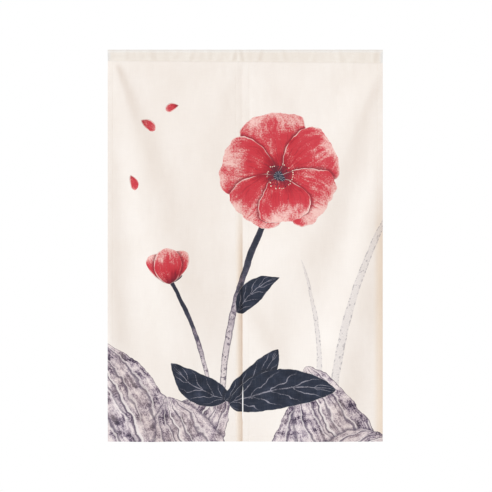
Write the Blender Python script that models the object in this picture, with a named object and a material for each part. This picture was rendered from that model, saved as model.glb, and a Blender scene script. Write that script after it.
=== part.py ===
"""Half-length door curtain: two cloth panels under one sewn rod sleeve.

Lengths are in metres and +Z is up. The origin is the middle of the top edge, the front of the
cloth faces -Y, and X runs to the right as the front is seen. A depth is measured forward, so it
is along -Y.
"""

import math
from collections import namedtuple

import bmesh
import bpy

# Driving sizes
WIDTH = 0.842  # across the hanging curtain, which is cut 0.85 wide
HEIGHT = 1.200
MEETING_X = -0.008  # where the two panels meet, a little left of the middle
CLOTH = 0.0012  # one layer
HEM_CLOTH = 0.0024  # a turned hem
GAP = 0.0003  # between pieces that touch

# The sleeve, which is a teardrop in section and grows a little taller towards its right end
SLEEVE_DROP_LEFT = 0.034
SLEEVE_DROP_RIGHT = 0.041
SLEEVE_RADIUS = 0.009
SLEEVE_SEAM = 0.004  # height of the closed seam along its foot
SLEEVE_PUCKER = 0.0003  # how far its round top swells and draws in, in two uneven waves
PUCKER_WAVES = (61.0, 97.0)  # radians a metre
SLEEVE_ARC_STEPS = 10
SLEEVE_STATIONS = 31

# Hems, and the way that the panels are joined and part
SIDE_HEM = 0.018
SLIT_HEM = 0.022
FOOT_HEM = 0.018
HEM_STEP = 0.0008  # half the width over which a hem thins to one layer
JOINED_DROP = 0.365  # the panels are sewn together down to here
SLIT_FREE = 0.10  # the sewn seam stops holding the folds over this height below there
SLIT_GAP = 0.0026  # at its widest, low down
SLIT_PARTS = (-1.005, -1.070)  # where the gap begins to widen, and where it is widest
SLIT_MEETS = (-1.115, -1.155)  # where it starts to narrow, and where the edges meet again
COLUMN_PITCH = 0.0175
ROW_PITCH = 0.0340

# The two lengthwise edges that turn back, and the slight hollow towards the meeting line
LIP_WIDTH = 0.019
LIP_DEPTH = 0.0052
LIP_STARTS, LIP_FULL = -0.40, -0.68
CURL_WIDTH = 0.028
CURL_DEPTH = 0.0030
CURL_STARTS, CURL_FULL = -0.34, -0.60
HOLLOW_DEPTH = 0.004
HOLLOW_WIDTH = 0.32
SEAM_DIP = 0.0003
SEAM_HOLD = 0.035  # the sewn seam keeps the folds flat this far to each side
HEAD_HOLD = 0.055  # and the sleeve's seam keeps the hollow flat this far down

# A fold is a soft crest along a curved line. crest holds the line's x and z at its top, middle
# and foot. left and right are how far the fold reaches to each side there, and height is how far
# it stands forward, each at the top and the foot. It grows from begins to full and dies away
# from fades to gone. Past the crest's foot it goes on for a quarter of its length.
FOLD_RUN = 1.25
Fold = namedtuple("Fold", "panel crest left right height begins full fades gone")
FOLDS = (
    Fold(  # from the top left corner
        "left",
        crest=((-0.406, -0.036), (-0.326, -0.308), (-0.212, -0.767)),
        left=(0.060, 0.095),
        right=(0.018, 0.115),
        height=(0.0046, 0.0115),
        begins=-0.034,
        full=-0.066,
        fades=-0.72,
        gone=-1.08,
    ),
    Fold(  # down the left edge
        "left",
        crest=((-0.434, -0.05), (-0.434, -0.48), (-0.412, -0.92)),
        left=(0.030, 0.040),
        right=(0.032, 0.050),
        height=(0.0016, 0.0100),
        begins=-0.034,
        full=-0.10,
        fades=-0.86,
        gone=-1.00,
    ),
    Fold(  # across the left foot corner
        "left",
        crest=((-0.450, -0.94), (-0.392, -1.05), (-0.306, -1.18)),
        left=(0.050, 0.070),
        right=(0.040, 0.060),
        height=(0.008, 0.011),
        begins=-0.90,
        full=-1.02,
        fades=-1.40,
        gone=-1.60,
    ),
    Fold(  # from the top of the meeting line, to the left
        "left",
        crest=((-0.030, -0.05), (-0.090, -0.16), (-0.140, -0.32)),
        left=(0.06, 0.10),
        right=(0.03, 0.06),
        height=(0.0012, 0.0022),
        begins=-0.04,
        full=-0.12,
        fades=-0.25,
        gone=-0.50,
    ),
    Fold(  # from the top right corner
        "right",
        crest=((0.406, -0.060), (0.312, -0.278), (0.172, -0.614)),
        left=(0.040, 0.150),
        right=(0.020, 0.085),
        height=(0.0035, 0.0092),
        begins=-0.034,
        full=-0.14,
        fades=-0.56,
        gone=-0.90,
    ),
    Fold(  # down the right edge
        "right",
        crest=((0.398, -0.369), (0.366, -0.614), (0.306, -0.904)),
        left=(0.030, 0.090),
        right=(0.030, 0.075),
        height=(0.004, 0.010),
        begins=-0.22,
        full=-0.55,
        fades=-1.10,
        gone=-1.50,
    ),
    Fold(  # from the top of the meeting line, to the right
        "right",
        crest=((0.040, -0.05), (0.080, -0.16), (0.120, -0.28)),
        left=(0.05, 0.09),
        right=(0.03, 0.05),
        height=(0.0012, 0.0022),
        begins=-0.04,
        full=-0.12,
        fades=-0.22,
        gone=-0.40,
    ),
    Fold(  # low down beside the slit, to the right
        "right",
        crest=((-0.004, -0.78), (0.040, -0.88), (0.105, -1.02)),
        left=(0.04, 0.06),
        right=(0.03, 0.06),
        height=(0.004, 0.006),
        begins=-0.72,
        full=-0.86,
        fades=-1.00,
        gone=-1.25,
    ),
)


def clear_scene():
    for old in list(bpy.data.objects):
        bpy.data.objects.remove(old)


def smooth(share):
    """A soft step from 0 to 1 as share goes from 0 to 1."""
    share = min(max(share, 0.0), 1.0)
    return share * share * (3.0 - 2.0 * share)


def between(ends, share):
    return ends[0] + (ends[1] - ends[0]) * share


def crest_x(crest, z):
    """The x at height z of the parabola through a crest's three points."""
    total = 0.0
    for i, (x, own_z) in enumerate(crest):
        weight = 1.0
        for j, (_, other_z) in enumerate(crest):
            if j != i:
                weight *= (z - other_z) / (own_z - other_z)
        total += weight * x
    return total


def fold_depth(fold, x, z):
    top_z, foot_z = fold.crest[0][1], fold.crest[-1][1]
    along = min(max((top_z - z) / (top_z - foot_z), 0.0), FOLD_RUN)
    away = x - crest_x(fold.crest, z)
    reach = between(fold.left if away < 0.0 else fold.right, along)
    grown = smooth((fold.begins - z) / (fold.begins - fold.full))
    left_over = 1.0 - smooth((fold.fades - z) / (fold.fades - fold.gone))
    return between(fold.height, along) * grown * left_over * math.exp(-((away / reach) ** 2))


def sleeve_drop(x):
    """How far the sleeve's seam lies below the top edge, at x."""
    return between((SLEEVE_DROP_LEFT, SLEEVE_DROP_RIGHT), (x + WIDTH / 2) / WIDTH)


def seam_depth(z):
    """How far forward the meeting line lies, which the sewn seam gives to both panels."""
    return -(HOLLOW_DEPTH + SEAM_DIP) * smooth((-SLEEVE_DROP_LEFT - z) / HEAD_HOLD)


def turned_back(from_edge, width):
    """How far an edge has curled back there, from 0 at a width in from the edge to 1 on it."""
    return max(0.0, 1.0 - max(from_edge, 0.0) / width) ** 2


def cloth_depth(panel, x, z):
    """How far forward a panel's front face stands, at x and z."""
    below_seam = smooth((-sleeve_drop(x) - z) / HEAD_HOLD)
    from_meeting = abs(x - MEETING_X)
    depth = sum(fold_depth(fold, x, z) for fold in FOLDS if fold.panel == panel)
    depth -= HOLLOW_DEPTH * (1.0 - smooth(from_meeting / HOLLOW_WIDTH)) * below_seam
    sewn = 1.0 - smooth((-JOINED_DROP - z) / SLIT_FREE)
    held = sewn * (1.0 - smooth(from_meeting / SEAM_HOLD))
    depth = between((depth, seam_depth(z)), held)
    if panel == "left":
        turned = smooth((LIP_STARTS - z) / (LIP_STARTS - LIP_FULL))
        depth -= LIP_DEPTH * turned * turned_back(MEETING_X - x, LIP_WIDTH)
    else:
        turned = smooth((CURL_STARTS - z) / (CURL_STARTS - CURL_FULL))
        depth -= CURL_DEPTH * turned * turned_back(WIDTH / 2 - x, CURL_WIDTH)
    return depth


def steps_between(low, high, pitch):
    """Evenly spaced values from low to high, both included, about a pitch apart."""
    count = max(1, round((high - low) / pitch))
    return [low + (high - low) * i / count for i in range(count + 1)]


def across_panel(low_hem, high_hem, width):
    """Distances across a panel, with lines at half each side hem and a pair at its inner edge."""
    low = [0.0, low_hem / 2, low_hem - HEM_STEP]
    inner = steps_between(low_hem + HEM_STEP, width - high_hem - HEM_STEP, COLUMN_PITCH)
    high = [width - high_hem + HEM_STEP, width - high_hem / 2, width]
    return [*low, *inner, *high]


def down_panel(length):
    """Drops down a panel, with a pair of lines at the inner edge of the foot hem."""
    inner = steps_between(0.0, length - FOOT_HEM - HEM_STEP, ROW_PITCH)
    return [*inner, length - FOOT_HEM + HEM_STEP, length]


def panel_edges(panel, z):
    """The x of a panel's left and right edges at height z."""
    opened, closed = (
        smooth((begins - z) / (begins - done)) for begins, done in (SLIT_PARTS, SLIT_MEETS)
    )
    half_gap = between((GAP, SLIT_GAP), opened * (1.0 - closed)) / 2
    if panel == "left":
        return -WIDTH / 2, MEETING_X - half_gap
    return MEETING_X + half_gap, WIDTH / 2


def make_panel(name, panel, material):
    """One hanging panel: its front face as a grid, thickened backwards and doubled at its hems."""
    low_hem, high_hem = (SIDE_HEM, SLIT_HEM) if panel == "left" else (SLIT_HEM, SIDE_HEM)
    top_edges = panel_edges(panel, -SLEEVE_DROP_LEFT)
    width = top_edges[1] - top_edges[0]
    across = across_panel(low_hem, high_hem, width)
    shape = bmesh.new()
    weights = shape.verts.layers.deform.new()
    rows = []
    for down in down_panel(HEIGHT - SLEEVE_DROP_RIGHT):
        row = []
        for away in across:
            share_across = away / width
            x_top = between(top_edges, share_across)
            top = sleeve_drop(x_top) + GAP
            z = -top - down * (HEIGHT - top) / (HEIGHT - SLEEVE_DROP_RIGHT)
            x = between(panel_edges(panel, z), share_across)
            vert = shape.verts.new((x, -CLOTH - cloth_depth(panel, x, z), z))
            in_hem = away < low_hem or away > width - high_hem or z < -HEIGHT + FOOT_HEM
            vert[weights][0] = 1.0 if in_hem else 0.0
            row.append(vert)
        rows.append(row)
    for upper, lower in zip(rows, rows[1:]):
        for i in range(len(across) - 1):
            shape.faces.new((upper[i], lower[i], lower[i + 1], upper[i + 1]))
    mesh = bpy.data.meshes.new(name)
    shape.to_mesh(mesh)
    shape.free()
    made = add_object(name, mesh, material)
    made.vertex_groups.new(name="hem")
    thick = made.modifiers.new("cloth", "SOLIDIFY")
    thick.thickness = HEM_CLOTH
    thick.offset = -1.0
    thick.vertex_group = "hem"
    thick.thickness_vertex_group = CLOTH / HEM_CLOTH
    return made


def sleeve_radius(x):
    """The round top's radius at x, which swells and draws in a little along the gathers."""
    return SLEEVE_RADIUS + SLEEVE_PUCKER * sum(math.sin(wave * x) for wave in PUCKER_WAVES) / 2


def teardrop(radius, drop, foot_rise, inset):
    """Points (y, z) round the sleeve's section, from the foot's front, over the top, to its back.

    The sides run straight from the round top to the seam, which is two layers thick. foot_rise
    ends them that far above the seam's foot, and inset moves the outline inwards.
    """
    below_centre = drop - radius
    lean = math.asin(radius / math.hypot(CLOTH, below_centre)) - math.atan2(CLOTH, below_centre)
    own_radius = radius - inset
    foot_z = foot_rise - drop
    low_y = (own_radius + math.sin(lean) * (foot_z + radius)) / math.cos(lean)
    arc = []
    for i in range(SLEEVE_ARC_STEPS + 1):
        angle = math.pi + lean - (math.pi + 2.0 * lean) * i / SLEEVE_ARC_STEPS
        arc.append((own_radius * math.cos(angle), -radius + own_radius * math.sin(angle)))
    return [(-low_y, foot_z), *arc, (low_y, foot_z)]


def make_sleeve(name, material):
    """The rod sleeve: a flattened tube that runs the whole width, open at both ends."""
    shape = bmesh.new()
    loops = []
    for i in range(SLEEVE_STATIONS):
        x = -WIDTH / 2 + WIDTH * i / (SLEEVE_STATIONS - 1)
        radius, drop = sleeve_radius(x), sleeve_drop(x)
        outer = teardrop(radius, drop, 0.0, 0.0)
        inner = teardrop(radius, drop, SLEEVE_SEAM, CLOTH)
        loops.append([[shape.verts.new((x, y, z)) for y, z in line] for line in (outer, inner)])
    around = len(loops[0][0])
    for first, second in zip(loops, loops[1:]):
        for i in range(around):
            j = (i + 1) % around
            shape.faces.new((first[0][i], first[0][j], second[0][j], second[0][i]))
            shape.faces.new((first[1][i], second[1][i], second[1][j], first[1][j]))
    for end in (loops[0], loops[-1]):
        for i in range(around):
            j = (i + 1) % around
            shape.faces.new((end[0][i], end[1][i], end[1][j], end[0][j]))
    bmesh.ops.recalc_face_normals(shape, faces=shape.faces[:])
    mesh = bpy.data.meshes.new(name)
    shape.to_mesh(mesh)
    shape.free()
    return add_object(name, mesh, material)


def cloth_material(name, colour, roughness):
    material = bpy.data.materials.new(name)
    material.use_nodes = True
    shader = material.node_tree.nodes["Principled BSDF"]
    shader.inputs["Base Color"].default_value = (*colour, 1.0)
    shader.inputs["Roughness"].default_value = roughness
    shader.inputs["Metallic"].default_value = 0.0
    return material


def add_object(name, mesh, material):
    made = bpy.data.objects.new(name, mesh)
    bpy.context.scene.collection.objects.link(made)
    mesh.materials.append(material)
    mesh.shade_smooth()
    mesh.set_sharp_from_angle(angle=math.radians(40))
    return made


def main():
    clear_scene()
    panel_cloth = cloth_material("panel_cloth", (0.87, 0.81, 0.74), 0.85)
    sleeve_cloth = cloth_material("sleeve_cloth", (0.83, 0.77, 0.70), 0.85)
    make_sleeve("rod_sleeve", sleeve_cloth)
    make_panel("left_panel", "left", panel_cloth)
    make_panel("right_panel", "right", panel_cloth)


main()
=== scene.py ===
"""The looks of the half-length door curtain: its cloth, stitching and print, with studio light.

Lengths are in metres, +Z is up, the front faces -Y, and the origin is the middle of the top
edge. A depth is measured forward, along -Y. A flat place is an x and a z on the cloth as it was
before it hung, which each cloth piece carries in its UV map named FLAT_MAP.
"""

import math
from collections import namedtuple

import bmesh
import bpy
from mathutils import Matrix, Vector, noise


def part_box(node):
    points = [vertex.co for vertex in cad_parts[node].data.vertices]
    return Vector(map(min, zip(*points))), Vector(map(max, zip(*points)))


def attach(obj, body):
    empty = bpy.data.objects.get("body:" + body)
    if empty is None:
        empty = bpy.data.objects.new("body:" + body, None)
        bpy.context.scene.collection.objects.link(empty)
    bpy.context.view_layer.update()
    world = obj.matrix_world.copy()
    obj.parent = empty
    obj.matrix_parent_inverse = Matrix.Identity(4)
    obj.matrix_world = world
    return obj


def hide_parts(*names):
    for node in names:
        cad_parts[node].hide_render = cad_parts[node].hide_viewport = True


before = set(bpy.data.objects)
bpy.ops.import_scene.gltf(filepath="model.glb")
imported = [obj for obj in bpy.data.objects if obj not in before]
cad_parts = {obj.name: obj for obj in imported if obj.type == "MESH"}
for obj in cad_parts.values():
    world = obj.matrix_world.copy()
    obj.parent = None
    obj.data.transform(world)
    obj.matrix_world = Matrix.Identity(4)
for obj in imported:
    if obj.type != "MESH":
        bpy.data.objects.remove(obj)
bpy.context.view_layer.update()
sleeve_low, sleeve_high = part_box("rod_sleeve")

FLAT_MAP = "flat"
BAKE_MAP = "OFBake"
BAKE_MARGIN = 0.01  # a share of the baked picture's side
SLEEVE_BANDS = (0.05, 0.35)  # where the sleeve's two sides begin in its baked picture

# Driving sizes, which the solids give
WIDTH = sleeve_high.x - sleeve_low.x
HEIGHT = 1.200
MEETING_X = -0.008
SLEEVE_DROP_LEFT = 0.034
SLEEVE_DROP_RIGHT = 0.041
SLEEVE_RADIUS = 0.009

# The cloth as it really is, thinner than the solids that stand for it
SOLID_CLOTH = 0.0012
CLOTH = 0.0007
HEM_CLOTH = 0.0015
SEAM_TUCK = 0.0030  # how far a panel's top runs up between the two layers of the sleeve

# Hems, and the way that the panels are joined and part
SIDE_HEM = 0.018
SLIT_HEM = 0.022
FOOT_HEM = 0.018
JOINED_DROP = 0.365  # the panels are sewn together down to here
SLIT_FREE = 0.10  # the sewn seam stops holding the folds over this height below there
SLIT_GAP = 0.0026  # at its widest, low down
SLIT_PARTS = (-1.005, -1.070)  # where the gap begins, and where it has its full width
SLIT_MEETS = (-1.115, -1.155)  # where it starts to narrow, and where it has closed again
SLIT_LAP = 0.0010  # how far the left panel's lip reaches behind the right panel

# The two lengthwise edges that turn back, the slight hollow towards the meeting line, and the
# seam's own low relief
LIP_WIDTH = 0.019
LIP_DEPTH = 0.0052
LIP_STARTS, LIP_FULL = -0.40, -0.68
CURL_WIDTH = 0.028
CURL_DEPTH = 0.0030
CURL_STARTS, CURL_FULL = -0.34, -0.60
HOLLOW_DEPTH = 0.004
HOLLOW_WIDTH = 0.32
SEAM_DIP = 0.0003
SEAM_LIP = 0.16  # the share of the left lip's turn that the sewn seam has too
SEAM_RIDGE = 0.0007  # how far the right panel's hem stands out along the sewn seam
SEAM_RIDGE_FALLS = (0.005, 0.026)  # from the seam, where the ridge begins and ends to fall
SEAM_HOLD = 0.035  # the sewn seam keeps the folds flat this far to each side
HEAD_HOLD = 0.055  # and the sleeve's seam keeps the hollow flat this far down

# A fold is a soft crest along a curved line. crest holds the line's x and z at its top, middle
# and foot. left and right are how far the fold reaches to each side there, and height is how far
# it stands forward, each at the top and the foot. It grows from begins to full and dies away
# from fades to gone. Past the crest's foot it goes on for a quarter of its length.
FOLD_RUN = 1.25
Fold = namedtuple("Fold", "panel crest left right height begins full fades gone")
FOLDS = (
    Fold(  # from the top left corner
        "left",
        crest=((-0.404, -0.036), (-0.326, -0.308), (-0.212, -0.767)),
        left=(0.060, 0.095),
        right=(0.012, 0.115),
        height=(0.0046, 0.0115),
        begins=-0.034,
        full=-0.066,
        fades=-0.72,
        gone=-1.08,
    ),
    Fold(  # down the left edge
        "left",
        crest=((-0.434, -0.05), (-0.434, -0.48), (-0.412, -0.92)),
        left=(0.030, 0.040),
        right=(0.032, 0.050),
        height=(0.0016, 0.0100),
        begins=-0.034,
        full=-0.10,
        fades=-0.86,
        gone=-1.00,
    ),
    Fold(  # across the left foot corner
        "left",
        crest=((-0.450, -0.94), (-0.392, -1.05), (-0.306, -1.18)),
        left=(0.050, 0.070),
        right=(0.040, 0.060),
        height=(0.008, 0.011),
        begins=-0.90,
        full=-1.02,
        fades=-1.40,
        gone=-1.60,
    ),
    Fold(  # from the top of the meeting line, to the left
        "left",
        crest=((-0.030, -0.05), (-0.090, -0.16), (-0.140, -0.32)),
        left=(0.06, 0.10),
        right=(0.03, 0.06),
        height=(0.0012, 0.0022),
        begins=-0.04,
        full=-0.12,
        fades=-0.25,
        gone=-0.50,
    ),
    Fold(  # from the top right corner
        "right",
        crest=((0.406, -0.060), (0.312, -0.278), (0.172, -0.614)),
        left=(0.040, 0.150),
        right=(0.020, 0.085),
        height=(0.0035, 0.0092),
        begins=-0.034,
        full=-0.14,
        fades=-0.56,
        gone=-0.90,
    ),
    Fold(  # down the right edge
        "right",
        crest=((0.398, -0.369), (0.366, -0.614), (0.306, -0.904)),
        left=(0.030, 0.090),
        right=(0.030, 0.075),
        height=(0.004, 0.010),
        begins=-0.22,
        full=-0.55,
        fades=-1.10,
        gone=-1.50,
    ),
    Fold(  # from the top of the meeting line, to the right
        "right",
        crest=((0.040, -0.05), (0.080, -0.16), (0.120, -0.28)),
        left=(0.05, 0.09),
        right=(0.03, 0.05),
        height=(0.0012, 0.0022),
        begins=-0.04,
        full=-0.12,
        fades=-0.22,
        gone=-0.40,
    ),
    Fold(  # low down beside the slit, to the right
        "right",
        crest=((-0.004, -0.78), (0.040, -0.88), (0.105, -1.02)),
        left=(0.04, 0.06),
        right=(0.03, 0.06),
        height=(0.004, 0.006),
        begins=-0.72,
        full=-0.86,
        fades=-1.00,
        gone=-1.25,
    ),
)

# Small unevenness that the solids leave out
NOISE_SEEDS = {"left": 3.7, "right": 8.2}
RUMPLE_SEED, HEAD_PUCKER_SEED, SLOW_PUCKER_SEED = 11.0, 5.0, 7.0  # added to a panel's own
CRUMPLE_HEIGHT = 0.0007
CRUMPLE_SIZE = (0.055, 0.140)  # across and down
RUMPLE_HEIGHT = 0.00018
RUMPLE_SIZE = (0.016, 0.034)
HEM_PUCKER = 0.00022  # where a line of stitches draws the cloth in
HEM_PUCKER_WAVE = 0.011
SLOW_PUCKER_WAVE, SLOW_PUCKER_SHARE = 0.055, 1.6  # longer ones, against the short ones' height
HEAD_PUCKER = 0.0006  # little upright pleats under the sleeve's seam
HEAD_PUCKER_WAVE = 0.021
HEAD_PUCKER_DROP = 0.030
HEAD_PUCKER_GROWS = 0.006
HEM_PUCKER_REACH = 0.012  # to each side of the stitches
HEAD_CALM = 0.10  # how far below the sleeve the crumples take to grow
STITCH_SINK = 0.00016
STITCH_SINK_WIDTH = 0.0011

# Grids
COLUMN_PITCH = 0.0042
ROW_PITCH = 0.0042
FINE_PITCH = 0.0022  # in the hems, and near the top
HEAD_ROWS = 0.012  # rows are closer together this far down from a panel's top
HEM_EDGE_STEP = 0.0003  # beside a hem's inner edge
ROUND_CLEAR = 0.0020  # from a turned edge to the first line past its round fold
STITCH_CLEAR = 0.0018
SLEEVE_STATION_PITCH = 0.0026
SLEEVE_SIDE_STEPS = 14
SLEEVE_ARC_STEPS = 18

# The sleeve's seam, layer and little pleats. A pleat stands at x, leans aside as it goes up, and
# dies away over its width. A shallow trough lies on its right.
SLEEVE_CLOTH = 0.0009
SLEEVE_SEAM = 0.0045
SEAM_FRONT, SEAM_BACK = 0.0016, 0.0013
SLEEVE_FOOT_THIN = 0.55  # the share of its thickness that the sleeve's raw foot has
SLEEVE_CRUMPLE = 0.0004
SLEEVE_CRUMPLE_SIZE = (0.020, 0.9)  # across in metres, and up as a share of the sleeve
SLEEVE_SEED = 21.0
DENTS_GROW = 0.15  # shares of the way up the sleeve
DENTS_EASE = 0.5
DENTS_EASED = 0.6  # by how much they have eased off on top
TROUGH_AWAY, TROUGH_SHARE = 1.8, 0.5  # in widths of the pleat, and against its height
Pleat = namedtuple("Pleat", "x lean width height")
SLEEVE_PLEATS = (
    Pleat(-0.372, 0.008, 0.0085, 0.0005),
    Pleat(-0.286, -0.010, 0.0100, 0.0005),
    Pleat(-0.171, 0.010, 0.0085, 0.0006),
    Pleat(-0.112, -0.006, 0.0080, 0.0004),
    Pleat(-0.042, 0.008, 0.0075, 0.0008),
    Pleat(-0.013, -0.007, 0.0070, 0.0009),
    Pleat(0.036, 0.010, 0.0090, 0.0007),
    Pleat(0.118, -0.009, 0.0095, 0.0005),
    Pleat(0.203, 0.010, 0.0085, 0.0005),
    Pleat(0.290, -0.008, 0.0090, 0.0004),
    Pleat(0.391, 0.006, 0.0085, 0.0005),
)

# Stitching: how far in from an edge each line runs, and the thread itself
STITCH_PITCH = 0.0030
STITCH_LENGTH = 0.0025
THREAD_RADIUS = 0.00020
THREAD_RISE = 0.00010
THREAD_SIDES = 5
THREAD_SPREAD = 1.25  # how much wider than tall a thread is pressed
SIDE_STITCH_IN = 0.0160
SLIT_STITCH_IN = 0.0200
FOOT_STITCH_UP = 0.0155
SLEEVE_STITCH_UP = 0.0025
SLEEVE_STITCH_ENDS = 0.0030

# The picture's scale and place, the camera, the floor and the light
PICTURE_PIXELS = 492
METRES_A_PIXEL = 0.0030625
TOP_PIXEL = 49.75
MIDDLE_PIXEL = 245.25
CAMERA_DISTANCE = 6.2
SENSOR = 0.036
FLOOR_Z = -2.05
FLOOR_RADIUS = 4.5
ROOM_LIGHT = 0.668
ROOM_COLOUR = (1.0, 0.833, 0.681, 1.0)  # warmer than the lamps, so that folds darken warmly
Lamp = namedtuple("Lamp", "name place power")
LAMPS = (
    Lamp("front_lamp", (-3.0, -2.1, 0.4), 3.215),
    Lamp("back_lamp", (-3.0, 2.1, 0.4), 2.3),
    Lamp("top_lamp", (0.0, 0.0, 4.0), 0.3),
)
LAMP_SPREAD = 14.0
LAMP_COLOUR = (0.688, 0.868, 1.0)

# What each cloth was cut to: its own size, with its turned hems and seams
LEFT_CUT = (0.465, 1.200)
RIGHT_CUT = (0.481, 1.200)

# The cloth's look. Colours are as they look on a screen, each channel from 0 to 255.
CREAM_LIGHT, CREAM_DARK = (240, 231, 225), (237, 227, 220)
# The sleeve's paints are a little darker than the panels': painted shade, as its doubled cloth lets
# less light through.
SLEEVE_LIGHT, SLEEVE_DARK = (237, 228, 220), (234, 224, 215)
CURL_SHADE_PAINT, CURL_SHADE_SHARE = (242, 222, 201), 0.60  # painted warm shade where an edge curls back
TOP_SHADE_PAINT, TOP_SHADE_SHARE, TOP_SHADE_DEEP = (221, 222, 224), 0.52, 0.013  # painted grey shade along the sleeve's top edge and its ends
THREAD_PITCH = 0.00062
SLUB_SIZE = (0.0013, 0.045)  # a thick stretch of yarn, across it and along it
BARE_FOLD = 0.0014  # how far in from the slit the print is thin on the right panel
GHOST = 0.14  # how strongly the print shows through on the back

# The print. A stroke starts at its root x and z, and its angle is turned from +X. bow is how far
# it bends to its left, root and tip say how blunt its ends are, and tone tells strokes apart.
Stroke = namedtuple("Stroke", "x z angle length half_width bow root tip tone")
REEDS = (
    Stroke(0.262, -1.16, 74, 0.74, 0.0130, 0.045, 0.06, 0.30, 0.2),
    Stroke(0.215, -1.14, 95, 0.50, 0.0085, -0.030, 0.06, 0.40, 0.6),
)
BROAD_LEAVES = (
    Stroke(0.110, -1.38, 74, 0.36, 0.105, -0.030, 0.50, 0.62, 0.10),
    Stroke(0.430, -1.36, 122, 0.46, 0.115, 0.040, 0.50, 0.68, 0.95),
    Stroke(0.230, -1.40, 48, 0.30, 0.090, 0.030, 0.50, 0.60, 0.30),
    Stroke(-0.230, -1.40, 66, 0.40, 0.100, 0.030, 0.50, 0.62, 0.45),
    Stroke(-0.260, -1.38, 116, 0.56, 0.120, -0.035, 0.48, 0.66, 0.60),
    Stroke(-0.020, -1.40, 124, 0.40, 0.105, 0.030, 0.50, 0.62, 0.75),
)
STEMS = (
    Stroke(0.088, -0.470, -105, 0.62, 0.0105, -0.035, 0.04, 0.04, 0.3),
    Stroke(-0.232, -0.705, -72, 0.42, 0.0068, 0.024, 0.04, 0.05, 0.7),
)
DARK_LEAVES = (
    Stroke(-0.228, -0.718, 152, 0.052, 0.0110, -0.004, 0.60, 0.80, 0.05),
    Stroke(-0.236, -0.718, 30, 0.050, 0.0105, 0.004, 0.60, 0.80, 0.95),
    Stroke(-0.050, -1.070, 148, 0.210, 0.046, 0.022, 0.60, 0.85, 0.15),
    Stroke(-0.060, -1.075, 44, 0.225, 0.046, -0.020, 0.65, 0.80, 0.40),
    Stroke(-0.050, -1.085, 8, 0.330, 0.060, 0.024, 0.60, 0.75, 0.65),
    Stroke(-0.026, -0.806, 40, 0.170, 0.034, 0.018, 0.70, 0.95, 0.90),
)
BLOOM_MIDDLE = (0.105, -0.385)
BLOOM = (
    Stroke(*BLOOM_MIDDLE, 98, 0.190, 0.100, 0.0, 0.80, 0.34, 0.10),
    Stroke(*BLOOM_MIDDLE, 28, 0.185, 0.092, 0.0, 0.80, 0.34, 0.25),
    Stroke(*BLOOM_MIDDLE, 168, 0.182, 0.090, 0.0, 0.80, 0.34, 0.40),
    Stroke(*BLOOM_MIDDLE, -34, 0.172, 0.094, 0.0, 0.80, 0.34, 0.55),
    Stroke(*BLOOM_MIDDLE, 232, 0.168, 0.090, 0.0, 0.80, 0.34, 0.70),
    Stroke(*BLOOM_MIDDLE, 280, 0.142, 0.084, 0.0, 0.80, 0.34, 0.85),
)
BUD = (
    Stroke(-0.232, -0.715, 128, 0.105, 0.036, -0.012, 0.70, 0.55, 0.12),
    Stroke(-0.232, -0.715, 62, 0.108, 0.036, 0.012, 0.70, 0.55, 0.37),
    Stroke(-0.232, -0.720, 95, 0.112, 0.042, 0.0, 0.62, 0.50, 0.62),
)
FALLEN_PETALS = (
    Stroke(-0.318, -0.215, -38, 0.052, 0.0150, 0.004, 0.70, 0.50, 0.2),
    Stroke(-0.205, -0.168, 205, 0.042, 0.0120, -0.003, 0.70, 0.50, 0.5),
    Stroke(-0.352, -0.385, -70, 0.046, 0.0130, 0.003, 0.70, 0.50, 0.8),
)
# Each layer's wash, strokes and opacity, and how far the hand wobbles, slowly and finely
PRINT_LAYERS = (
    ("reed_wash", REEDS, 0.75, 0.006, 0.0014),
    ("mottled_leaf_wash", BROAD_LEAVES, 1.0, 0.024, 0.0050),
    ("stem_wash", STEMS, 1.0, 0.008, 0.0016),
    ("dark_leaf_wash", DARK_LEAVES, 1.0, 0.014, 0.0018),
    ("petal_wash", BUD, 1.0, 0.010, 0.0018),
    ("petal_wash", FALLEN_PETALS, 1.0, 0.008, 0.0018),
    ("petal_wash", BLOOM, 1.0, 0.024, 0.0040),
)
SLOW_WOBBLE, FINE_WOBBLE = 0.046, 0.010  # the lengths over which the hand wobbles
EDGE_SOFTNESS = 0.0006  # half the width over which a stroke's edge fades
HALO_WIDTH = 0.014  # how far a stroke shades the strokes below it

# The open flower's middle
STAMEN_COUNT = 37.0
STAMEN_REACH = 0.044
STAMEN_HAIR = (0.0007, 0.0003)  # where its edge begins to fade in, and where it is solid
STAMEN_DOT = (0.0023, 0.0014)
SEED_HEAD = (0.36, 0.33)  # shares of the stamens' reach
SEED_RAYS = 11.0

# The node groups' inputs and outputs that are vectors
VECTOR_SOCKETS = ("Point", "Root", "Forward", "Sideways", "Spots", "Below Spots")


def smooth(share):
    """A soft step from 0 to 1 as share goes from 0 to 1."""
    share = min(max(share, 0.0), 1.0)
    return share * share * (3.0 - 2.0 * share)


def between(ends, share):
    return ends[0] + (ends[1] - ends[0]) * share


def crest_x(crest, z):
    """The x at height z of the parabola through a crest's three points."""
    total = 0.0
    for i, (x, own_z) in enumerate(crest):
        weight = 1.0
        for j, (_, other_z) in enumerate(crest):
            if j != i:
                weight *= (z - other_z) / (own_z - other_z)
        total += weight * x
    return total


def fold_depth(fold, x, z):
    top_z, foot_z = fold.crest[0][1], fold.crest[-1][1]
    along = min(max((top_z - z) / (top_z - foot_z), 0.0), FOLD_RUN)
    away = x - crest_x(fold.crest, z)
    reach = between(fold.left if away < 0.0 else fold.right, along)
    grown = smooth((fold.begins - z) / (fold.begins - fold.full))
    left_over = 1.0 - smooth((fold.fades - z) / (fold.fades - fold.gone))
    return between(fold.height, along) * grown * left_over * math.exp(-((away / reach) ** 2))


def sleeve_drop(x):
    """How far the sleeve's seam lies below the top edge, at x."""
    return between((SLEEVE_DROP_LEFT, SLEEVE_DROP_RIGHT), (x + WIDTH / 2) / WIDTH)


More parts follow.
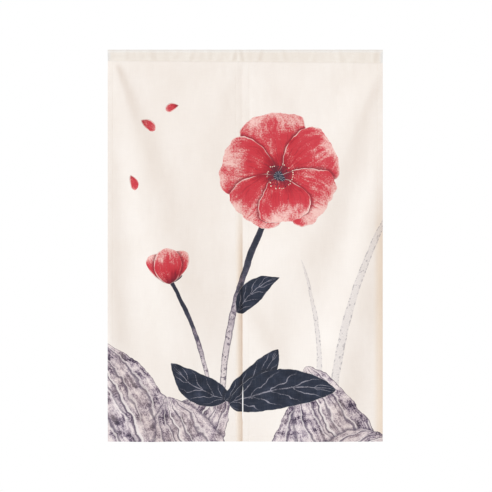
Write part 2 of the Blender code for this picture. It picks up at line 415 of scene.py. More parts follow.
def seam_depth(z):
    """How far forward the meeting line lies, which the sewn seam gives to both panels."""
    return -(HOLLOW_DEPTH + SEAM_DIP) * smooth((-SLEEVE_DROP_LEFT - z) / HEAD_HOLD)


def lip_turned(z):
    return smooth((LIP_STARTS - z) / (LIP_STARTS - LIP_FULL))


def turned_back(from_edge, width):
    """How far an edge has curled back there, from 0 at a width in from the edge to 1 on it."""
    return max(0.0, 1.0 - max(from_edge, 0.0) / width) ** 2


def main_depth(panel, x, z):
    """How far forward a panel's front face stands, by its main folds and the seam's relief."""
    below_seam = smooth((-sleeve_drop(x) - z) / HEAD_HOLD)
    from_meeting = abs(x - MEETING_X)
    depth = sum(fold_depth(fold, x, z) for fold in FOLDS if fold.panel == panel)
    depth -= HOLLOW_DEPTH * (1.0 - smooth(from_meeting / HOLLOW_WIDTH)) * below_seam
    sewn = 1.0 - smooth((-JOINED_DROP - z) / SLIT_FREE)
    held = sewn * (1.0 - smooth(from_meeting / SEAM_HOLD))
    depth = between((depth, seam_depth(z)), held)
    if panel == "left":
        turned = max(lip_turned(z), SEAM_LIP * below_seam)
        depth -= LIP_DEPTH * turned * turned_back(MEETING_X - x, LIP_WIDTH)
    else:
        turned = smooth((CURL_STARTS - z) / (CURL_STARTS - CURL_FULL))
        depth -= CURL_DEPTH * turned * turned_back(WIDTH / 2 - x, CURL_WIDTH)
        begins, ends = SEAM_RIDGE_FALLS
        fallen = smooth((from_meeting - begins) / (ends - begins))
        depth += SEAM_RIDGE * sewn * below_seam * (1.0 - fallen)
    return depth


def uneven(x, z, size, seed):
    """Soft noise from about -1 to 1, with lumps of a size across and down."""
    return noise.noise(Vector((x / size[0], seed, z / size[1])))


def side_hems(panel):
    """The widths of a panel's left and right hems."""
    return (SIDE_HEM, SLIT_HEM) if panel == "left" else (SLIT_HEM, SIDE_HEM)


def stitch_lines(panel):
    """How far in from the left edge, the right edge and the foot the stitches of a panel run."""
    if panel == "left":
        return SIDE_STITCH_IN, SLIT_STITCH_IN, FOOT_STITCH_UP
    return SLIT_STITCH_IN, SIDE_STITCH_IN, FOOT_STITCH_UP


def fine_depth(panel, x, z, from_left, from_right):
    """Crumples and puckers, measured forward, on top of the main folds."""
    seed = NOISE_SEEDS[panel]
    drop = -sleeve_drop(x) - z
    depth = CRUMPLE_HEIGHT * uneven(x, z, CRUMPLE_SIZE, seed) * smooth(drop / HEAD_CALM)
    depth += RUMPLE_HEIGHT * uneven(x, z, RUMPLE_SIZE, seed + RUMPLE_SEED)
    wave = uneven(x, 0.0, (HEAD_PUCKER_WAVE, 1.0), seed + HEAD_PUCKER_SEED)
    fading = math.exp(-max(drop, 0.0) / HEAD_PUCKER_DROP)
    depth += HEAD_PUCKER * wave * fading * smooth(drop / HEAD_PUCKER_GROWS)
    left_in, right_in, foot_up = stitch_lines(panel)
    for away, along, own_seed in (
        (from_left - left_in, z, 1.0),
        (from_right - right_in, z, 2.0),
        (z + HEIGHT - foot_up, x, 4.0),
    ):
        drawn = noise.noise(Vector((along / HEM_PUCKER_WAVE, own_seed, seed)))
        slow = noise.noise(Vector((along / SLOW_PUCKER_WAVE, own_seed + SLOW_PUCKER_SEED, seed)))
        near = math.exp(-((away / HEM_PUCKER_REACH) ** 2))
        depth += HEM_PUCKER * (drawn + SLOW_PUCKER_SHARE * slow) * near
    return depth


def stitch_sink(panel, z, from_left, from_right):
    """How far both faces are pressed in beside a line of stitches."""
    left_in, right_in, foot_up = stitch_lines(panel)
    total = 0.0
    for away in (from_left - left_in, from_right - right_in, z + HEIGHT - foot_up):
        total += math.exp(-((away / STITCH_SINK_WIDTH) ** 2))
    return STITCH_SINK * min(total, 1.0)


def steps_between(low, high, pitch):
    """Evenly spaced values from low to high, both included, about a pitch apart."""
    count = max(1, round((high - low) / pitch))
    return [low + (high - low) * i / count for i in range(count + 1)]


def rounded_start():
    """Distances from a turned edge at which its round fold is drawn."""
    radius = HEM_CLOTH / 2
    return [radius * (1.0 - math.cos(math.pi * i / 8)) for i in range(5)]


def hem_steps(hem, stitch_in):
    """Distances from a turned edge, close together at its round fold, stitches and inner edge."""
    return [
        *rounded_start(),
        *steps_between(ROUND_CLEAR, stitch_in - STITCH_CLEAR, FINE_PITCH),
        *(stitch_in + STITCH_SINK_WIDTH * k / 2 for k in (-2, -1, 0, 1)),
        *(hem + HEM_EDGE_STEP * k for k in (-3, -1, 1, 4)),
    ]


def grid_lines(low_hem, high_hem, low_stitch, high_stitch, length, pitch):
    """Distances from 0 to length, with both ends turned. A hem of 0 leaves its end raw."""
    low = hem_steps(low_hem, low_stitch) if low_hem else [0.0]
    high = hem_steps(high_hem, high_stitch) if high_hem else [0.0]
    inner = steps_between(low[-1], length - high[-1], pitch)
    return [*low, *inner[1:-1], *(length - away for away in reversed(high))]


def panel_edges(panel, z):
    """The x of a panel's left and right edges at height z."""
    opened, closed = (
        smooth((begins - z) / (begins - done)) for begins, done in (SLIT_PARTS, SLIT_MEETS)
    )
    parted = opened * (1.0 - closed)
    half_gap = SLIT_GAP * parted / 2
    if panel == "left":
        return -WIDTH / 2, MEETING_X - half_gap + SLIT_LAP * lip_turned(z) * (1.0 - parted)
    return MEETING_X + half_gap, WIDTH / 2


def half_thickness(panel, from_left, from_right, from_foot):
    """Half the cloth's thickness there, which a hem doubles and a turned edge rounds off."""
    left_hem, right_hem = side_hems(panel)
    in_hem = from_left < left_hem or from_right < right_hem or from_foot < FOOT_HEM
    thick = HEM_CLOTH if in_hem else CLOTH
    radius = HEM_CLOTH / 2
    near = min(from_left, from_right, from_foot)
    if near < radius:
        thick *= math.sqrt(max(0.0, 1.0 - ((radius - near) / radius) ** 2))
    return thick / 2


class PanelShape:
    """Where every point of one hanging panel is, from its flat place."""

    def __init__(self, panel):
        self.panel = panel
        self.top_edges = panel_edges(panel, -SLEEVE_DROP_LEFT)
        self.width = self.top_edges[1] - self.top_edges[0]
        self.length = HEIGHT - (SLEEVE_DROP_LEFT + SLEEVE_DROP_RIGHT) / 2 + SEAM_TUCK

    def place(self, across, down):
        """x, z, the depths of the front and back faces, and the flat place.

        across is a distance from the left edge, and down is a share of the way to the foot.
        """
        share = across / self.width
        flat_x = between(self.top_edges, share)
        top = -sleeve_drop(flat_x) + SEAM_TUCK
        z = between((top, -HEIGHT), down)
        x = between(panel_edges(self.panel, z), share)
        from_left, from_right = across, self.width - across
        from_foot = z + HEIGHT
        middle = main_depth(self.panel, x, z) + SOLID_CLOTH / 2
        middle += fine_depth(self.panel, x, z, from_left, from_right)
        half = half_thickness(self.panel, from_left, from_right, from_foot)
        sunk = min(stitch_sink(self.panel, z, from_left, from_right), half)
        extra = max(0.0, half - CLOTH / 2)  # a hem's second layer lies behind the first
        front = middle + half - extra - sunk
        back = middle - half - extra + sunk
        return x, z, front, back, (flat_x, z)


def surface_object(name, shape, material_names, crease=50):
    """A mesh object, smooth but for edges that bend by more than crease degrees."""
    mesh = bpy.data.meshes.new(name)
    shape.to_mesh(mesh)
    shape.free()
    made = bpy.data.objects.new(name, mesh)
    bpy.context.scene.collection.objects.link(made)
    for material_name in material_names:
        mesh.materials.append(bpy.data.materials[material_name])
    mesh.shade_smooth()
    mesh.set_sharp_from_angle(angle=math.radians(crease))
    return made


def make_panel(panel):
    """One panel as a closed sheet: a front grid and a back grid that share their turned edges."""
    own = PanelShape(panel)
    left_hem, right_hem = side_hems(panel)
    left_in, right_in, foot_up = stitch_lines(panel)
    columns = grid_lines(left_hem, right_hem, left_in, right_in, own.width, COLUMN_PITCH)
    length = own.length
    rows = grid_lines(0.0, FOOT_HEM, 0.0, foot_up, length, ROW_PITCH)
    below = [row for row in rows if row > HEAD_ROWS + FINE_PITCH / 2]
    rows = [*steps_between(0.0, HEAD_ROWS, FINE_PITCH), *below]

    shape = bmesh.new()
    flat = shape.loops.layers.uv.new(FLAT_MAP)
    bake = shape.loops.layers.uv.new(BAKE_MAP)
    fronts, backs, flats = [], [], []
    last_row, last_column = len(rows) - 1, len(columns) - 1
    for j, down in enumerate(rows):
        front_row, back_row, flat_row = [], [], []
        for i, across in enumerate(columns):
            x, z, front, back, place = own.place(across, down / length)
            front_vert = shape.verts.new((x, -front, z))
            closed = i in (0, last_column) or j == last_row
            back_vert = front_vert if closed else shape.verts.new((x, -back, z))
            front_row.append(front_vert)
            back_row.append(back_vert)
            flat_row.append(place)
        fronts.append(front_row)
        backs.append(back_row)
        flats.append(flat_row)

    def bake_place(place, behind):
        """The front fills the left half of the baked picture, and the back fills the right."""
        scale = (1.0 - 2.0 * BAKE_MARGIN) / HEIGHT
        u = BAKE_MARGIN + (place[0] - own.top_edges[0]) * scale
        if behind:
            u += BAKE_MARGIN + own.width * scale
        return u, 1.0 - BAKE_MARGIN + place[1] * scale

    def face(corners, places, material, behind):
        made = shape.faces.new(corners)
        made.material_index = material
        for loop, place in zip(made.loops, places):
            loop[flat].uv = place
            loop[bake].uv = bake_place(place, behind)

    for j in range(last_row):
        for i in range(last_column):
            spots = ((j, i), (j + 1, i), (j + 1, i + 1), (j, i + 1))
            places = [flats[a][b] for a, b in spots]
            face([fronts[a][b] for a, b in spots], places, 0, False)
            face([backs[a][b] for a, b in reversed(spots)], places[::-1], 1, True)
    for i in range(last_column):  # the raw top edge, which the sleeve hides
        spots = [fronts[0][i], fronts[0][i + 1], backs[0][i + 1], backs[0][i]]
        spots = [vert for k, vert in enumerate(spots) if vert not in spots[:k]]
        (low_x, low_z), (high_x, high_z) = flats[0][i], flats[0][i + 1]
        places = [(low_x, low_z), (high_x, high_z)]
        places += [(high_x, high_z + CLOTH), (low_x, low_z + CLOTH)]
        face(spots, places[: len(spots)], 1, True)
    bmesh.ops.recalc_face_normals(shape, faces=shape.faces[:])
    return surface_object(panel + "_panel_cloth", shape, ("printed_cloth", "cloth_back"))


def make_stitches(name, runs):
    """Beads of thread, one for each stitch. A run gives where the thread lies and which way is out.

    Each run is a length and a function from a distance along it to a point and the way out there.
    """
    shape = bmesh.new()
    for length, spot in runs:
        for i in range(int(length / STITCH_PITCH)):
            begins = i * STITCH_PITCH + (STITCH_PITCH - STITCH_LENGTH) / 2
            add_bead(shape, [spot(begins + STITCH_LENGTH * k / 3) for k in range(4)])
    bmesh.ops.recalc_face_normals(shape, faces=shape.faces[:])
    flat = shape.loops.layers.uv.new(FLAT_MAP)
    for face in shape.faces:
        for loop in face.loops:
            loop[flat].uv = (loop.vert.co.x, loop.vert.co.z)
    made = surface_object(name, shape, ("sewing_thread",), crease=180)
    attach(made, "root")
    return made


def add_bead(shape, spots):
    """One stitch: a short round thread that rises out of the cloth and goes back into it."""
    along = (spots[-1][0] - spots[0][0]).normalized()
    rings = []
    for k, (point, out) in enumerate(spots):
        rise = THREAD_RISE if k in (1, 2) else -THREAD_RADIUS
        centre = point + out * rise
        side = along.cross(out).normalized()
        ring = []
        for corner in range(THREAD_SIDES):
            turn = 2.0 * math.pi * corner / THREAD_SIDES
            from_middle = math.cos(turn) * out + THREAD_SPREAD * math.sin(turn) * side
            ring.append(shape.verts.new(centre + THREAD_RADIUS * from_middle))
        rings.append(ring)
    for low, high in zip(rings, rings[1:]):
        for corner in range(THREAD_SIDES):
            following = (corner + 1) % THREAD_SIDES
            shape.faces.new((low[corner], low[following], high[following], high[corner]))
    shape.faces.new(rings[0][::-1])
    shape.faces.new(rings[-1])


def panel_stitch_runs(panel):
    """The stitch lines of a panel's hems, on its front and on its back."""
    own = PanelShape(panel)
    left_in, right_in, foot_up = stitch_lines(panel)
    length = own.length

    def spot(across, down, behind):
        x, z, front, back, _ = own.place(across, down)
        if behind:
            return Vector((x, -back, z)), Vector((0.0, 1.0, 0.0))
        return Vector((x, -front, z)), Vector((0.0, -1.0, 0.0))

    runs = []
    for behind in (False, True):
        for across in (left_in, own.width - right_in):
            runs.append((
                length - foot_up - SEAM_TUCK,
                lambda at, a=across, b=behind: spot(a, (SEAM_TUCK + at) / length, b),
            ))
        runs.append((
            own.width - left_in - right_in,
            lambda at, b=behind: spot(left_in + at, 1.0 - foot_up / length, b),
        ))
    return runs


def sleeve_line(x):
    """The sleeve's layer at x, as points (y, z) from its front foot over the top to its back."""
    drop = sleeve_drop(x)
    radius = SLEEVE_RADIUS - SLEEVE_CLOTH / 2
    seam_z = SLEEVE_SEAM - drop
    below = -SLEEVE_RADIUS - seam_z
    sides = []
    for foot_y in (SEAM_FRONT, SEAM_BACK):
        lean = math.asin(radius / math.hypot(foot_y, below)) - math.atan2(foot_y, below)
        arc_y, arc_z = radius * math.cos(lean), -SLEEVE_RADIUS - radius * math.sin(lean)
        side = [(foot_y, between((-drop, seam_z), k / 3)) for k in range(3)]
        for k in range(SLEEVE_SIDE_STEPS):
            share = k / SLEEVE_SIDE_STEPS
            side.append((between((foot_y, arc_y), share), between((seam_z, arc_z), share)))
        sides.append((side, lean))
    (front, front_lean), (back, back_lean) = sides
    arc = []
    for k in range(SLEEVE_ARC_STEPS + 1):
        turn = between((math.pi + front_lean, -back_lean), k / SLEEVE_ARC_STEPS)
        arc.append((radius * math.cos(turn), -SLEEVE_RADIUS + radius * math.sin(turn)))
    return [*((-y, z) for y, z in front), *arc, *reversed(back)]


def sleeve_dent(x, height):
    """How far the sleeve stands out at x, where height is 0 at its seam and 1 on top."""
    eased = DENTS_EASED * smooth((height - DENTS_EASE) / (1.0 - DENTS_EASE))
    rise = smooth(height / DENTS_GROW) * (1.0 - eased)
    crumple = uneven(x, height, SLEEVE_CRUMPLE_SIZE, SLEEVE_SEED)
    out = SLEEVE_CRUMPLE * crumple * (0.35 + rise)
    for pleat in SLEEVE_PLEATS:
        away = (x - pleat.x - pleat.lean * height) / pleat.width
        out += pleat.height * math.exp(-away * away) * (0.3 + 0.7 * rise)
        out -= TROUGH_SHARE * pleat.height * math.exp(-((away - TROUGH_AWAY) ** 2)) * rise
    return out


def sleeve_layer(x):
    """Outer and inner points at x, with the distance round the sleeve to each."""
    line = sleeve_line(x)
    last = len(line) - 1
    outer, inner, rounds = [], [], []
    gone = 0.0
    for k, (y, z) in enumerate(line):
        before, after = line[max(k - 1, 0)], line[min(k + 1, last)]
        run = math.hypot(after[0] - before[0], after[1] - before[1])
        out_y, out_z = -(after[1] - before[1]) / run, (after[0] - before[0]) / run
        height = min(1.0, (z + sleeve_drop(x)) / sleeve_drop(x))
        shift = sleeve_dent(x, height)
        near_foot = min(k, last - k)
        half = SLEEVE_CLOTH / 2 * (SLEEVE_FOOT_THIN if near_foot == 0 else 1.0)
        outer.append((y + out_y * (shift + half), z + min(out_z * (shift + half), -z)))
        inner.append((y + out_y * (shift - half), z + out_z * (shift - half)))
        if k:
            gone += math.hypot(y - line[k - 1][0], z - line[k - 1][1])
        rounds.append(gone)
    return outer, inner, rounds


def make_sleeve():
    """The rod sleeve: one layer of cloth folded over, open at both ends and along its foot."""
    shape = bmesh.new()
    flat = shape.loops.layers.uv.new(FLAT_MAP)
    bake = shape.loops.layers.uv.new(BAKE_MAP)
    stations = steps_between(-WIDTH / 2, WIDTH / 2, SLEEVE_STATION_PITCH)
    loops = []
    for x in stations:
        outer, inner, rounds = sleeve_layer(x)
        verts = [[shape.verts.new((x, y, z)) for y, z in line] for line in (outer, inner)]
        loops.append((x, verts, rounds))

    def face(corners, places, inside):
        """The sleeve's outside fills one band of the baked picture, and its inside the next."""
        made = shape.faces.new(corners)
        scale = (1.0 - 2.0 * BAKE_MARGIN) / WIDTH
        for loop, (x, gone) in zip(made.loops, places):
            loop[flat].uv = (x, gone)
            loop[bake].uv = (0.5 + x * scale, SLEEVE_BANDS[inside] + gone * scale)

    for (x, verts, rounds), (next_x, next_verts, next_rounds) in zip(loops, loops[1:]):
        for inside in (0, 1):
            low, high = verts[inside], next_verts[inside]
            for k in range(len(low) - 1):
                places = ((x, rounds[k]), (x, rounds[k + 1]),
                          (next_x, next_rounds[k + 1]), (next_x, next_rounds[k]))
                face((low[k], low[k + 1], high[k + 1], high[k]), places, inside)
        for k, beyond in ((0, -SLEEVE_CLOTH), (-1, SLEEVE_CLOTH)):  # the two feet of the sleeve
            corners = (verts[0][k], verts[1][k], next_verts[1][k], next_verts[0][k])
            low, high = rounds[k], next_rounds[k]
            places = ((x, low), (x, low + beyond), (next_x, high + beyond), (next_x, high))
            face(corners, places, 0)
    for (x, verts, rounds), beyond in ((loops[0], -SLEEVE_CLOTH), (loops[-1], SLEEVE_CLOTH)):
        for k in range(len(rounds) - 1):  # the open end
            corners = (verts[0][k], verts[0][k + 1], verts[1][k + 1], verts[1][k])
            low, high = rounds[k], rounds[k + 1]
            face(corners, ((x, low), (x, high), (x + beyond, high), (x + beyond, low)), 0)
    bmesh.ops.recalc_face_normals(shape, faces=shape.faces[:])
    return surface_object("rod_sleeve_cloth", shape, ("sleeve_weave",))


def sleeve_stitch_runs():
    """The seam along the sleeve's foot, on its front and on its back."""

    def spot(at, behind):
        x = -WIDTH / 2 + SLEEVE_STITCH_ENDS + at
        outer, _, _ = sleeve_layer(x)
        low, high = (outer[-1], outer[-3]) if behind else (outer[0], outer[2])
        (low_y, low_z), (high_y, high_z) = low, high
        share = SLEEVE_STITCH_UP / (high_z - low_z)
        point = Vector((x, between((low_y, high_y), share), low_z + SLEEVE_STITCH_UP))
        return point, Vector((0.0, 1.0 if behind else -1.0, 0.0))

    length = WIDTH - 2 * SLEEVE_STITCH_ENDS
    return [(length, lambda at, b=behind: spot(at, b)) for behind in (False, True)]


def far_lamps():
    """Lamps in front and behind, to the left, and above, whose light falls evenly all over."""
    for name, place, power in LAMPS:
        lamp = bpy.data.lights.new(name, "SUN")
        lamp.angle = math.radians(LAMP_SPREAD)
        lamp.energy = power
        lamp.color = LAMP_COLOUR
        holder = bpy.data.objects.new(name, lamp)
        holder.location = place
        holder.rotation_euler = (-Vector(place)).to_track_quat("-Z", "Y").to_euler()
        bpy.context.scene.collection.objects.link(holder)


def studio():
    """A straight-on camera with a long lens, and soft light."""
    scene = bpy.context.scene
    middle = PICTURE_PIXELS / 2
    view_x = (middle - MIDDLE_PIXEL) * METRES_A_PIXEL
    view_z = -(middle - TOP_PIXEL) * METRES_A_PIXEL
    camera = bpy.data.cameras.new("camera")
    camera.sensor_width = SENSOR * 1000.0
    camera.lens = CAMERA_DISTANCE * camera.sensor_width / (PICTURE_PIXELS * METRES_A_PIXEL)
    camera.clip_end = 50.0
    holder = bpy.data.objects.new("camera", camera)
    holder.location = (view_x, -CAMERA_DISTANCE, view_z)
    holder.rotation_euler = (math.radians(90.0), 0.0, 0.0)
    scene.collection.objects.link(holder)
    scene.camera = holder
    scene.view_settings.view_transform = "Standard"

    world = bpy.data.worlds.new("white_room")
    scene.world = world
    world.use_nodes = True
    background = world.node_tree.nodes["Background"]
    room = Wiring(world.node_tree)
    seen = room.number(room.node("ShaderNodeLightPath").outputs["Is Camera Ray"])
    room.feed(background.inputs["Color"], room.mix(seen, ROOM_COLOUR, (1.0, 1.0, 1.0, 1.0)))
    room.feed(background.inputs["Strength"], seen * (1.0 - ROOM_LIGHT) + ROOM_LIGHT)
    far_lamps()


def paint(red, green, blue):
    """A paint's colour as shaders take it, from how it looks on a screen, each from 0 to 255."""
    levels = (level / 255.0 for level in (red, green, blue))
    linear = (v / 12.92 if v <= 0.04045 else ((v + 0.055) / 1.055) ** 2.4 for v in levels)
    return (*linear, 1.0)


class Number:
    """A number that nodes work out, so that a formula in nodes reads as a formula."""

    def __init__(self, wiring, socket):
        self.wiring = wiring
        self.socket = socket

    def __add__(self, other):
        return self.wiring.math("ADD", self, other)

    def __radd__(self, other):
        return self.wiring.math("ADD", other, self)

    def __sub__(self, other):
        return self.wiring.math("SUBTRACT", self, other)

    def __rsub__(self, other):
        return self.wiring.math("SUBTRACT", other, self)

    def __mul__(self, other):
        return self.wiring.math("MULTIPLY", self, other)

    def __rmul__(self, other):
        return self.wiring.math("MULTIPLY", other, self)

    def __truediv__(self, other):
        return self.wiring.math("DIVIDE", self, other)

    def __pow__(self, other):
        return self.wiring.math("POWER", self, other)

    def __abs__(self):
        return self.wiring.math("ABSOLUTE", self)


class Wiring:
    """Adds nodes to one tree and joins them. A plain value may go wherever a socket can."""

    def __init__(self, tree):
        self.tree = tree

    def node(self, kind, **settings):
        made = self.tree.nodes.new(kind)
        for name, value in settings.items():
            setattr(made, name, value)
        return made

    def feed(self, socket, value):
        value = getattr(value, "socket", value)
        if isinstance(value, bpy.types.NodeSocket):
            self.tree.links.new(value, socket)
        else:
            socket.default_value = value

    def feed_all(self, node, **values):
        for name, value in values.items():
            self.feed(node.inputs[name.replace("_", " ")], value)
        return node

    def number(self, socket):
        return Number(self, socket)

    def math(self, operation, *values):
        made = self.node("ShaderNodeMath", operation=operation)
        for socket, value in zip(made.inputs, values):
            self.feed(socket, value)
        return self.number(made.outputs[0])

    def smallest(self, first, *others):
        for other in others:
            first = self.math("MINIMUM", first, other)
        return first

    def largest(self, first, *others):
        for other in others:
            first = self.math("MAXIMUM", first, other)
        return first

    def step(self, value, low, high):
        """A soft step from 0 to 1 as value goes from low to high."""
        made = self.node("ShaderNodeMapRange", interpolation_type="SMOOTHSTEP")
        for name, given in (("Value", value), ("From Min", low), ("From Max", high)):
            self.feed(made.inputs[name], given)
        return self.number(made.outputs["Result"])

    def ridge(self, value, width):
        """1 on the line where value is a whole number, falling softly to 0 at width from it."""
        away = abs(self.math("FRACT", value + 0.5) - 0.5)
        return 1.0 - self.step(away, width * 0.4, width)

    def vectors(self, operation, first, second):
        made = self.node("ShaderNodeVectorMath", operation=operation)
        self.feed(made.inputs[0], first)
        self.feed(made.inputs[1], second)
        return made

    def dot(self, first, second):
        return self.number(self.vectors("DOT_PRODUCT", first, second).outputs["Value"])

    def split(self, vector):
        """A vector's three parts, by dot products, which cost the shader no change of type."""
        return [self.dot(vector, axis) for axis in ((1.0, 0, 0), (0, 1.0, 0), (0, 0, 1.0))]

    def join(self, x=0.0, y=0.0, z=0.0):
        made = self.node("ShaderNodeCombineXYZ")
        self.feed_all(made, X=x, Y=y, Z=z)
        return made.outputs[0]

    def stretch(self, vector, scale):
        """The vector times a scale of three numbers."""
        return self.vectors("MULTIPLY", vector, scale).outputs[0]

    def cloud(self, vector, scale, detail=2.0, roughness=0.5):
        """Soft noise about 0.5, with scale lumps to each unit of the vector."""
        made = self.node("ShaderNodeTexNoise")
        self.feed_all(made, Vector=vector, Scale=scale, Detail=detail, Roughness=roughness)
        return self.number(made.outputs["Fac"])

    def mix(self, share, low, high):
        """A colour between two, as share goes from 0 to 1."""
        made = self.node("ShaderNodeMix", data_type="RGBA")
        for i, value in ((0, share), (6, low), (7, high)):
            self.feed(made.inputs[i], value)
        return made.outputs[2]

    def mix_vectors(self, share, low, high):
        made = self.node("ShaderNodeMix", data_type="VECTOR")
        for i, value in ((0, share), (4, low), (5, high)):
            self.feed(made.inputs[i], value)
        return made.outputs[1]

    def shade(self, colour, factor):
        """A colour made darker or lighter by a factor that varies over the surface."""
        made = self.node("ShaderNodeVectorMath", operation="SCALE")
        self.feed(made.inputs[0], colour)
        self.feed(made.inputs["Scale"], factor)
        return made.outputs[0]

    def ramp(self, value, *stops):
        """A colour read off a row of (place, colour) stops."""
        made = self.node("ShaderNodeValToRGB")
        elements = made.color_ramp.elements
        while len(elements) < len(stops):
            elements.new(0.5)
        for element, (place, colour) in zip(elements, stops):
            element.position = place
            element.color = colour
        self.feed(made.inputs[0], value)
        return made.outputs["Color"]

    def group(self, name, **values):
        """A placed node group, as its outputs by name."""
        made = self.node("ShaderNodeGroup", node_tree=bpy.data.node_groups[name])
        self.feed_all(made, **values)
        return {
            socket.name: self.number(socket) if socket.type == "VALUE" else socket
            for socket in made.outputs
        }


class Group(Wiring):
    """A new node group with named inputs and outputs."""

    def __init__(self, name, takes, gives):
        super().__init__(bpy.data.node_groups.new(name, "ShaderNodeTree"))
        for way, names in (("INPUT", takes), ("OUTPUT", gives)):
            for label in names:
                kind = "NodeSocketFloat"
                if label in VECTOR_SOCKETS:
                    kind = "NodeSocketVector"
                elif label == "Colour":
                    kind = "NodeSocketColor"
                self.tree.interface.new_socket(label, in_out=way, socket_type=kind)
        self.start = self.node("NodeGroupInput")
        self.end = self.node("NodeGroupOutput")

    def given(self, name):
        socket = self.start.outputs[name]
        return self.number(socket) if socket.type == "VALUE" else socket

    def give(self, **values):
        self.feed_all(self.end, **values)


def group_weave():
    """Plain weave, with the thick and thin stretches of an uneven yarn."""
    g = Group("plain_weave", ["Point", "Pitch"], ["Height", "Tone"])
    point, pitch = g.given("Point"), g.given("Pitch")
    x, z, _ = g.split(point)
    drift = (g.cloud(point, 90.0) - 0.5) * 0.0006
    across = g.math("SINE", (x + drift) / pitch * math.pi)
    down = g.math("SINE", (z - drift) / pitch * math.pi)
    warp_on_top = g.step(across * down, -0.3, 0.3)
    warp, weft = abs(across) ** 0.7, abs(down) ** 0.7
    woven = weft + (warp - weft) * warp_on_top
    thick, long = SLUB_SIZE
    warp_slub = g.cloud(g.stretch(point, (1.0 / thick, 1.0 / long, 1.0)), 1.0, 1.0)
    weft_slub = g.cloud(g.stretch(point, (1.0 / long, 1.0 / thick, 1.0)), 1.0, 1.0)
    slub = warp_slub + weft_slub - 1.0
    g.give(Height=woven * 0.5 + slub * 0.9, Tone=1.0 + slub * 0.055 + (woven - 0.6) * 0.03)


def group_wobble():
    """Moves points a little, slowly and finely, as a hand that holds a brush does."""
    g = Group("hand_wobble", ["Point", "Slow", "Fine"], ["Point"])
    moved = g.given("Point")
    for size, amount in ((SLOW_WOBBLE, g.given("Slow")), (FINE_WOBBLE, g.given("Fine"))):
        made = g.node("ShaderNodeTexNoise")
        g.feed_all(made, Vector=g.given("Point"), Scale=1.0 / size, Detail=1.0)
        parts = g.node("ShaderNodeSeparateColor")
        g.feed(parts.inputs[0], made.outputs["Color"])
        x, z = ((g.number(parts.outputs[k]) - 0.5) * amount for k in range(2))
        moved = g.vectors("ADD", moved, g.join(x, z)).outputs[0]
    g.give(Point=moved)


def group_stroke():
    """One brush stroke: a bowed blade with a root, a tip and its own width all along.

    Forward and Sideways are its two directions, each divided by its size that way.
    """
    takes = ["Point", "Root", "Forward", "Sideways", "Length", "Half Width"]
    takes += ["Bow", "Root Power", "Tip Power", "Fullness"]
    g = Group("ink_stroke", takes, ["Mask", "Along", "Across", "Rim", "Halo"])
    from_root = g.vectors("SUBTRACT", g.given("Point"), g.given("Root")).outputs[0]
    along = g.dot(from_root, g.given("Forward"))
    share = g.smallest(g.largest(along, 0.0), 1.0)
    side = g.dot(from_root, g.given("Sideways")) - g.given("Bow") * share * (1.0 - share)
    profile = share ** g.given("Root Power") * (1.0 - share) ** g.given("Tip Power")
    profile = profile * g.given("Fullness")
    beyond = g.largest(abs(along - 0.5) - 0.5, 0.0) * g.given("Length")
    rim = (profile - abs(side)) * g.given("Half Width") - beyond - 0.0001
    across = g.smallest(g.largest(side / g.largest(profile, 0.02), -1.0), 1.0)
    g.give(
        Mask=g.step(rim, -EDGE_SOFTNESS, EDGE_SOFTNESS),
        Along=share, Across=across, Rim=rim, Halo=g.step(rim, -HALO_WIDTH, 0.0),
    )


def group_overlap():
    """Lays one stroke over those below it. Spots hold along, across and rim."""
    takes = ["Below Spots", "Below Tone", "Below Shade", "Below Mask"]
    takes += ["Spots", "Tone", "Mask", "Halo"]
    g = Group("overlap", takes, ["Spots", "Tone", "Shade", "Mask"])
    mask = g.given("Mask")
    below = 1.0 - mask
    g.give(
        Spots=g.mix_vectors(mask, g.given("Below Spots"), g.given("Spots")),
        Tone=g.given("Below Tone") * below + g.given("Tone") * mask,
        Shade=g.largest(g.given("Below Shade"), g.given("Halo")) * below,
        Mask=g.largest(g.given("Below Mask"), mask),
    )


def lay_strokes(wiring, point, strokes):
    """The strokes laid one over another, as the overlap group's outputs."""
    laid = {"Spots": (0.0, 0.0, 0.0), "Tone": 0.0, "Shade": 0.0, "Mask": 0.0}
    for stroke in strokes:
        peak = stroke.root / (stroke.root + stroke.tip)
        fullness = 1.0 / (peak**stroke.root * (1.0 - peak) ** stroke.tip)
        turn = math.radians(stroke.angle)
        forward = Vector((math.cos(turn), math.sin(turn), 0.0))
        sideways = Vector((-forward.y, forward.x, 0.0))
        drawn = wiring.group(
            "ink_stroke",
            Point=point,
            Root=(stroke.x, stroke.z, 0.0),
            Forward=forward / stroke.length,
            Sideways=sideways / stroke.half_width,
            Length=stroke.length,
            Half_Width=stroke.half_width,
            Bow=4.0 * stroke.bow / stroke.half_width,
            Root_Power=stroke.root,
            Tip_Power=stroke.tip,
            Fullness=fullness,
        )
        laid = wiring.group(
            "overlap",
            **{"Below_" + name: value for name, value in laid.items()},
            Spots=wiring.join(drawn["Along"], drawn["Across"], drawn["Rim"]),
            Tone=stroke.tone,
            Mask=drawn["Mask"],
            Halo=drawn["Halo"],
        )
    return laid


def new_wash(name):
    """A group that colours strokes: its wiring and what it is given, with Spots taken apart."""
    g = Group(name, ["Point", "Spots", "Tone", "Shade"], ["Colour"])
    return g, g.given("Point"), g.split(g.given("Spots")), g.given("Tone"), g.given("Shade")


